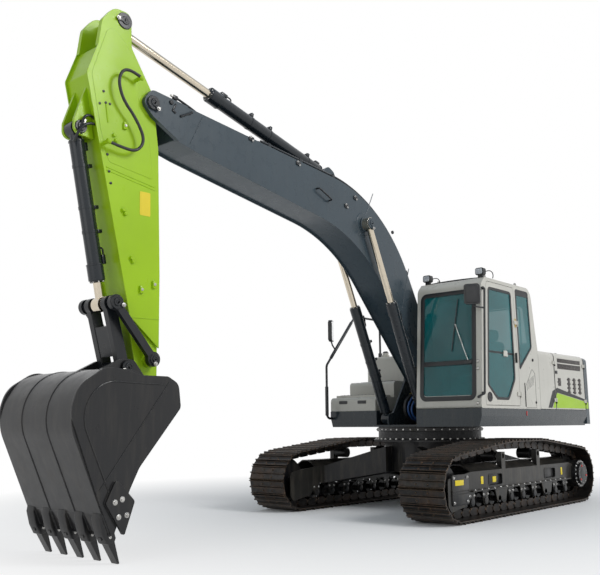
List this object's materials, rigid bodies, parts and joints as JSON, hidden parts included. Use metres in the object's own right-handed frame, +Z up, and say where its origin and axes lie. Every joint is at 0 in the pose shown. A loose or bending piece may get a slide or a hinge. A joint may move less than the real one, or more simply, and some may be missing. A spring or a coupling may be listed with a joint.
{
  "type": "crawler excavator",
  "caption": "Tracked hydraulic excavator with a cab, a boom, an arm, a toothed bucket and a round tail counterweight.",
  "frame": {"origin": "on the ground under the swing centre", "axes": "+X forward towards the bucket, +Y to the machine's left, +Z up"},
  "size_m": [9.0556, 2.98, 5.1062],
  "materials": {
    "white_paint": "satin",
    "dark_paint": "satin",
    "lime_paint": "satin",
    "bare_steel": "matte",
    "rod_chrome": "polished",
    "window_glass": "clear",
    "black_plastic": "matte",
    "seat_cloth": "matte",
    "engine_alloy": "matte"
  },
  "bodies": {
    "undercarriage": {"lower_frame": "dark_paint", "swing_bearing": "bare_steel", "track_frames": "dark_paint", "left_track": "bare_steel", "right_track": "bare_steel", "idlers": "dark_paint", "travel_drives": "dark_paint", "track_rollers": "dark_paint"},
    "house": {"house_frame": "dark_paint", "counterweight": "dark_paint", "cab_shell": "white_paint", "cab_glass": "window_glass", "operator_seat": "seat_cloth", "cab_console": "black_plastic", "engine_block": "engine_alloy", "body_frame": "dark_paint", "top_panel": "white_paint", "air_intake": "black_plastic", "fuel_tank": "white_paint", "tool_box": "white_paint", "handrails": "black_plastic", "mirrors": "black_plastic", "work_lamps": "black_plastic"},
    "cab_door": {"cab_door": "white_paint", "cab_door_glass": "window_glass"},
    "left_front_door": {"left_front_door": "white_paint"},
    "left_rear_door": {"left_rear_door": "white_paint"},
    "right_rear_door": {"right_rear_door": "white_paint"},
    "engine_hood": {"engine_hood": "white_paint"},
    "tool_box_lid": {"tool_box_lid": "white_paint"},
    "boom": {"boom": "dark_paint", "boom_pipes": "dark_paint"},
    "boom_cylinder_tubes": {"boom_cylinder_tubes": "dark_paint"},
    "boom_cylinder_rods": {"boom_cylinder_rods": "rod_chrome"},
    "arm": {"arm": "lime_paint", "arm_hose": "black_plastic"},
    "arm_cylinder_tube": {"arm_cylinder_tube": "dark_paint"},
    "arm_cylinder_rod": {"arm_cylinder_rod": "rod_chrome"},
    "bucket": {"bucket": "dark_paint", "bucket_teeth": "dark_paint"},
    "bucket_link": {"bucket_link": "dark_paint"},
    "guide_links": {"guide_links": "dark_paint"},
    "bucket_cylinder_tube": {"bucket_cylinder_tube": "dark_paint"},
    "bucket_cylinder_rod": {"bucket_cylinder_rod": "rod_chrome"}
  },
  "joints": [
    {"name": "swing", "type": "hinge", "parent": "undercarriage", "child": "house", "pos_m": [0, 0, 1.083], "axis": [0, 0, 1], "continuous": true},
    {"name": "boom_lift", "type": "hinge", "parent": "house", "child": "boom", "pos_m": [0.096, 0, 1.774], "axis": [0, -1, 0], "range_deg": [-70, 33]},
    {"name": "boom_tube_pivot", "type": "hinge", "parent": "house", "child": "boom_cylinder_tubes", "pos_m": [0.6, 0, 1.2], "axis": [0, -1, 0], "range_deg": [-68.3, 32.3]},
    {"name": "boom_rod_slide", "type": "slide", "parent": "boom_cylinder_tubes", "child": "boom_cylinder_rods", "axis": [0.4265, 0, 0.9045], "range_m": [-0.833, 0.3938]},
    {"name": "arm_crowd", "type": "hinge", "parent": "boom", "child": "arm", "pos_m": [5.21881, 0, 4.25047], "axis": [0, 1, 0], "range_deg": [-88, 29]},
    {"name": "arm_tube_pivot", "type": "hinge", "parent": "boom", "child": "arm_cylinder_tube", "pos_m": [2.31537, 0, 4.25972], "axis": [0, 1, 0], "range_deg": [-3.2, 1.2]},
    {"name": "arm_rod_slide", "type": "slide", "parent": "arm_cylinder_tube", "child": "arm_cylinder_rod", "axis": [0.9741, 0, 0.2263], "range_m": [-1.0933, 0.3616]},
    {"name": "bucket_curl", "type": "hinge", "parent": "arm", "child": "bucket", "pos_m": [5.13198, 0, 1.32475], "axis": [0, 1, 0], "range_deg": [-8, 160]},
    {"name": "guide_link_pivot", "type": "hinge", "parent": "arm", "child": "guide_links", "pos_m": [5.13918, 0, 1.73572], "axis": [0, 1, 0], "range_deg": [-4.7, 92]},
    {"name": "bucket_link_pivot", "type": "hinge", "parent": "bucket", "child": "bucket_link", "pos_m": [5.40698, 0, 1.64975], "axis": [0, 1, 0], "range_deg": [-125, 6.4]},
    {"name": "bucket_tube_pivot", "type": "hinge", "parent": "arm", "child": "bucket_cylinder_tube", "pos_m": [5.93189, 0, 3.83813], "axis": [0, 1, 0], "range_deg": [-9, 0.6]},
    {"name": "bucket_rod_slide", "type": "slide", "parent": "bucket_cylinder_tube", "child": "bucket_cylinder_rod", "axis": [-0.2154, 0, -0.9765], "range_m": [-0.0458, 0.8784]},
    {"name": "cab_door_swing", "type": "hinge", "parent": "house", "child": "cab_door", "pos_m": [-0.17, 1.347, 2.1], "axis": [0, 0, 1], "range_deg": [0, 95]},
    {"name": "left_front_door_swing", "type": "hinge", "parent": "house", "child": "left_front_door", "pos_m": [-1.3, 1.347, 1.7], "axis": [0, 0, 1], "range_deg": [0, 110]},
    {"name": "left_rear_door_swing", "type": "hinge", "parent": "house", "child": "left_rear_door", "pos_m": [-2.385, 1.347, 1.7], "axis": [0, 0, 1], "range_deg": [0, 110]},
    {"name": "right_rear_door_swing", "type": "hinge", "parent": "house", "child": "right_rear_door", "pos_m": [-2.385, -1.347, 1.7], "axis": [0, 0, -1], "range_deg": [0, 110]},
    {"name": "hood_lift", "type": "hinge", "parent": "house", "child": "engine_hood", "pos_m": [-1.315, 0, 2.152], "axis": [0, 1, 0], "range_deg": [0, 65]},
    {"name": "tool_box_lid_lift", "type": "hinge", "parent": "house", "child": "tool_box_lid", "pos_m": [0.119, -0.925, 1.526], "axis": [0, -1, 0], "range_deg": [0, 80]}
  ],
  "couplings": [
    {"joint": "boom_tube_pivot", "follows": "boom_lift", "ratio": 0.97344},
    {"joint": "boom_rod_slide", "follows": "boom_lift", "m_per_rad": 0.68019},
    {"joint": "arm_tube_pivot", "follows": "arm_crowd", "ratio": 0.03459},
    {"joint": "arm_rod_slide", "follows": "arm_crowd", "m_per_rad": 0.71052},
    {"joint": "guide_link_pivot", "follows": "bucket_curl", "ratio": 0.57406},
    {"joint": "bucket_link_pivot", "follows": "bucket_curl", "ratio": -0.78048},
    {"joint": "bucket_tube_pivot", "follows": "bucket_curl", "ratio": -0.0556},
    {"joint": "bucket_rod_slide", "follows": "bucket_curl", "m_per_rad": 0.31385}
  ]
}
